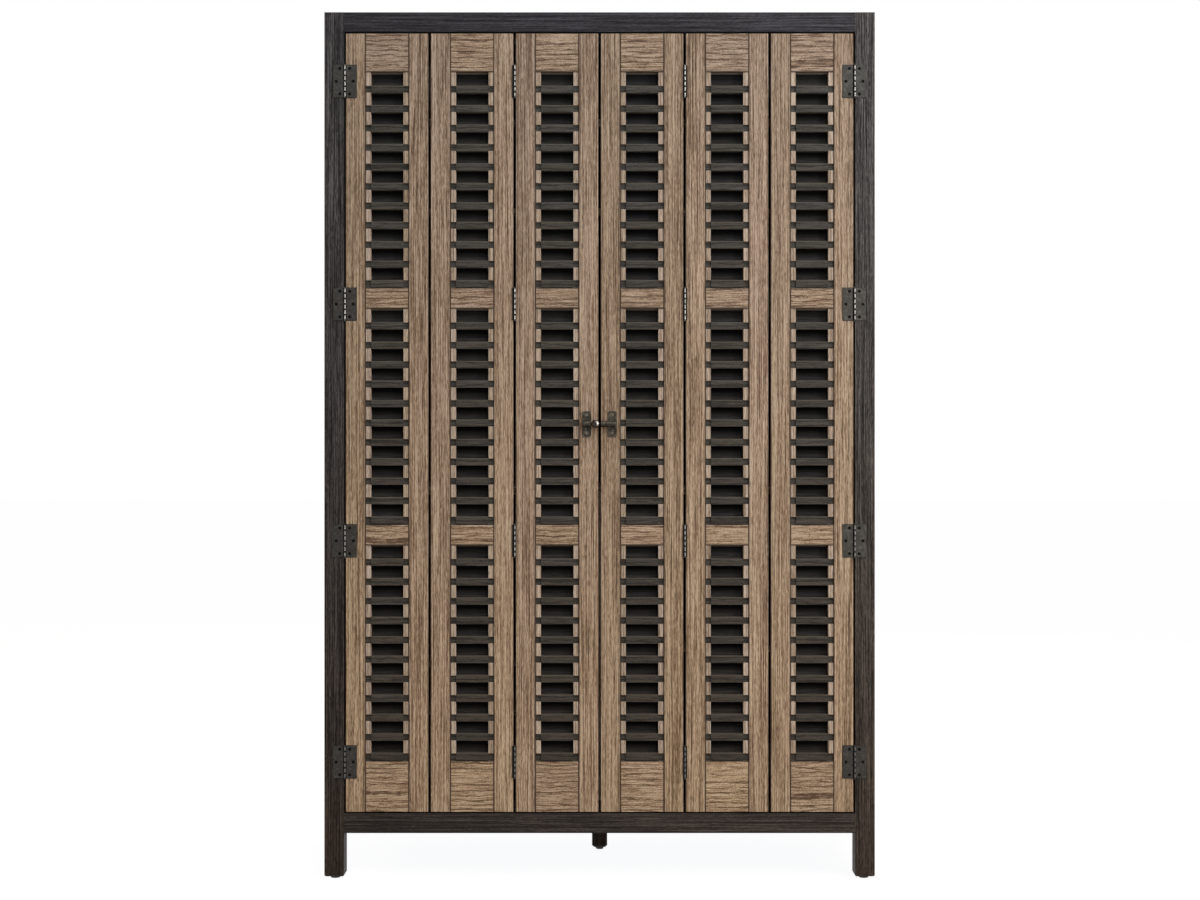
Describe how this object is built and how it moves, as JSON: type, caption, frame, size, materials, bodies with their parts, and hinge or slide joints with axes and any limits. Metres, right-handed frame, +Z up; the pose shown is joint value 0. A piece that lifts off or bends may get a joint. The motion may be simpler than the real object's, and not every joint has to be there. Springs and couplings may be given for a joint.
{
  "type": "bar armoire",
  "caption": "Tall bar cabinet on short legs: dark wood case, narrow folding louvred door leaves on butt hinges, sliding barrel bolt, shelves, bottle rack and stemware rack inside.",
  "frame": {"origin": "on the floor, under the middle of the bounding box", "axes": "+Z up, the doors face -Y, +X to the right of someone facing the doors"},
  "size_m": [1.29, 0.5865, 2.032],
  "materials": {
    "case_wood": "charred black-brown oak, open grain, matt",
    "case_panel_wood": "charred black-brown oak veneer, matt",
    "door_wood": "natural wire-brushed oak, matt",
    "slat_wood": "charred black-brown oak, matt",
    "inside_wood": "natural oak, satin",
    "hinge_metal": "aged pewter",
    "hinge_pin_metal": "worn pewter",
    "screw_metal": "darkened steel",
    "latch_metal": "dark bronze",
    "knob_metal": "dark bronze, rubbed",
    "glide": "black nylon",
    "shelf_pin_metal": "nickel"
  },
  "bodies": {
    "case": {"corner_posts": "case_wood", "front_rails": "case_wood", "side_and_back_rails": "case_wood", "side_panels": "case_panel_wood", "back_panel": "case_panel_wood", "top_panel": "case_panel_wood", "floor_panel": "case_panel_wood", "centre_leg": "case_wood", "foot_glides": "glide", "door_stops": "case_wood", "post_hinge_plates": "hinge_metal", "post_hinge_pins": "hinge_pin_metal", "post_hinge_screws": "screw_metal", "counter_shelf": "inside_wood", "upper_shelf": "inside_wood", "partition": "inside_wood", "adjustable_shelves": "inside_wood", "shelf_pins": "shelf_pin_metal", "shelf_cleats": "inside_wood", "bottle_rack": "inside_wood", "stemware_rack": "inside_wood"},
    "left_inner": {"latch_guide": "latch_metal", "left_inner_frame": "door_wood", "left_inner_louvres": "slat_wood", "left_inner_slat_strips": "door_wood", "left_inner_hinge_plates": "hinge_metal", "left_inner_screws": "screw_metal"},
    "latch_bolt": {"latch_bolt": "latch_metal", "latch_knob": "knob_metal"},
    "right_inner": {"latch_receiver": "latch_metal", "right_inner_frame": "door_wood", "right_inner_louvres": "slat_wood", "right_inner_slat_strips": "door_wood", "right_inner_hinge_plates": "hinge_metal", "right_inner_screws": "screw_metal"},
    "left_outer": {"left_outer_frame": "door_wood", "left_outer_louvres": "slat_wood", "left_outer_slat_strips": "door_wood", "left_outer_hinge_plates": "hinge_metal", "left_outer_screws": "screw_metal", "left_outer_hinge_pins": "hinge_pin_metal"},
    "right_outer": {"right_outer_frame": "door_wood", "right_outer_louvres": "slat_wood", "right_outer_slat_strips": "door_wood", "right_outer_hinge_plates": "hinge_metal", "right_outer_screws": "screw_metal", "right_outer_hinge_pins": "hinge_pin_metal"},
    "left_middle": {"left_middle_frame": "door_wood", "left_middle_louvres": "slat_wood", "left_middle_slat_strips": "door_wood", "left_middle_hinge_plates": "hinge_metal", "left_middle_screws": "screw_metal", "left_middle_hinge_pins": "hinge_pin_metal"},
    "right_middle": {"right_middle_frame": "door_wood", "right_middle_louvres": "slat_wood", "right_middle_slat_strips": "door_wood", "right_middle_hinge_plates": "hinge_metal", "right_middle_screws": "screw_metal", "right_middle_hinge_pins": "hinge_pin_metal"}
  },
  "joints": [
    {"name": "left_outer_hinge", "type": "hinge", "parent": "case", "child": "left_outer", "pos_m": [-0.597, -0.26895, 0.158], "axis": [0, 0, -1], "range_deg": [0, 165]},
    {"name": "left_middle_hinge", "type": "hinge", "parent": "left_outer", "child": "left_middle", "pos_m": [-0.39853, -0.24149, 0.158], "axis": [0, 0, 1], "range_deg": [0, 165]},
    {"name": "left_inner_hinge", "type": "hinge", "parent": "left_middle", "child": "left_inner", "pos_m": [-0.19927, -0.26801, 0.158], "axis": [0, 0, -1], "range_deg": [0, 165]},
    {"name": "right_outer_hinge", "type": "hinge", "parent": "case", "child": "right_outer", "pos_m": [0.597, -0.26895, 0.158], "axis": [0, 0, 1], "range_deg": [0, 165]},
    {"name": "right_middle_hinge", "type": "hinge", "parent": "right_outer", "child": "right_middle", "pos_m": [0.39853, -0.24149, 0.158], "axis": [0, 0, -1], "range_deg": [0, 165]},
    {"name": "right_inner_hinge", "type": "hinge", "parent": "right_middle", "child": "right_inner", "pos_m": [0.19927, -0.26801, 0.158], "axis": [0, 0, 1], "range_deg": [0, 165]},
    {"name": "latch_slide", "type": "slide", "parent": "left_inner", "child": "latch_bolt", "axis": [1, 0, 0], "range_m": [0, 0.01]}
  ],
  "couplings": [
    {"joint": "left_middle_hinge", "follows": "left_outer_hinge", "ratio": 1},
    {"joint": "left_inner_hinge", "follows": "left_outer_hinge", "ratio": 1},
    {"joint": "right_middle_hinge", "follows": "right_outer_hinge", "ratio": 1},
    {"joint": "right_inner_hinge", "follows": "right_outer_hinge", "ratio": 1}
  ]
}
